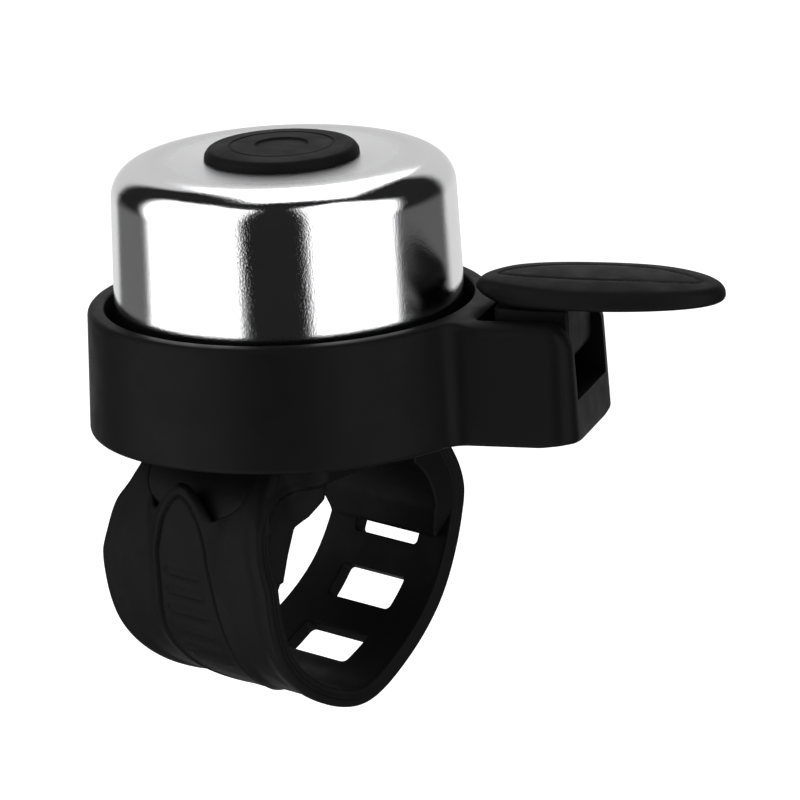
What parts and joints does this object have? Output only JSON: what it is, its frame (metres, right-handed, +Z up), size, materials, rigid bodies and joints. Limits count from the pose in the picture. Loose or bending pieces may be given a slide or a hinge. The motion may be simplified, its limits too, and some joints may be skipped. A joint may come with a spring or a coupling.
{
  "type": "bicycle bell",
  "caption": "Domed metal bell in a black ring housing with a thumb lever, on a hook-on elastic strap for a handlebar.",
  "frame": {"origin": "on the handlebar's axis, straight below the bell's own axis", "axes": "+X along the handlebar, +Z up along the bell's axis, +Y towards the side where the strap hooks on; the lever arm points 30 degrees from +X towards +Y"},
  "size_m": [0.0747, 0.0562, 0.0696],
  "materials": {
    "silicone": "matte",
    "housing": "soft-touch",
    "chrome": "polished",
    "steel": "zinc plated",
    "spring_steel": "oiled",
    "brass": "machined",
    "rubber": "matte",
    "nylon": "moulded"
  },
  "bodies": {
    "strap_mount": {"strap": "silicone", "saddle": "housing", "grip_pad": "rubber", "anchor_pin": "steel", "wave_washer": "spring_steel", "friction_disc": "nylon"},
    "bell": {"ring_housing": "housing", "base_plate": "housing", "base_screw_1": "steel", "base_screw_2": "steel", "base_screw_3": "steel", "swivel_insert": "brass", "swivel_screw": "steel", "dome_post": "steel", "isolator_washer": "rubber", "dome": "chrome", "dome_washer": "steel", "dome_screw": "steel", "dome_cap": "silicone", "lever_pin": "steel", "return_spring": "spring_steel", "rest_bumper": "rubber"},
    "lever": {"lever": "housing", "thumb_pad": "silicone", "leaf_screw": "steel"},
    "striker": {"leaf_spring": "spring_steel", "hammer": "steel", "hammer_rivet": "steel"}
  },
  "joints": [
    {"name": "bell_swivel", "type": "hinge", "parent": "strap_mount", "child": "bell", "pos_m": [0, 0, 0.0184], "axis": [0, 0, 1], "continuous": true},
    {"name": "lever_press", "type": "hinge", "parent": "bell", "child": "lever", "pos_m": [0.02996, 0.0173, 0.0302], "axis": [-0.5, 0.866, 0], "range_deg": [0, 12], "stiffness_Nm_per_rad": 0.12, "springref_deg": -20.05, "deforming": ["return_spring"]},
    {"name": "striker_flex", "type": "hinge", "parent": "lever", "child": "striker", "pos_m": [0.0149, 0.0086, 0.02655], "axis": [-0.5, 0.866, 0], "range_deg": [-3, 3], "stiffness_Nm_per_rad": 0.2}
  ]
}
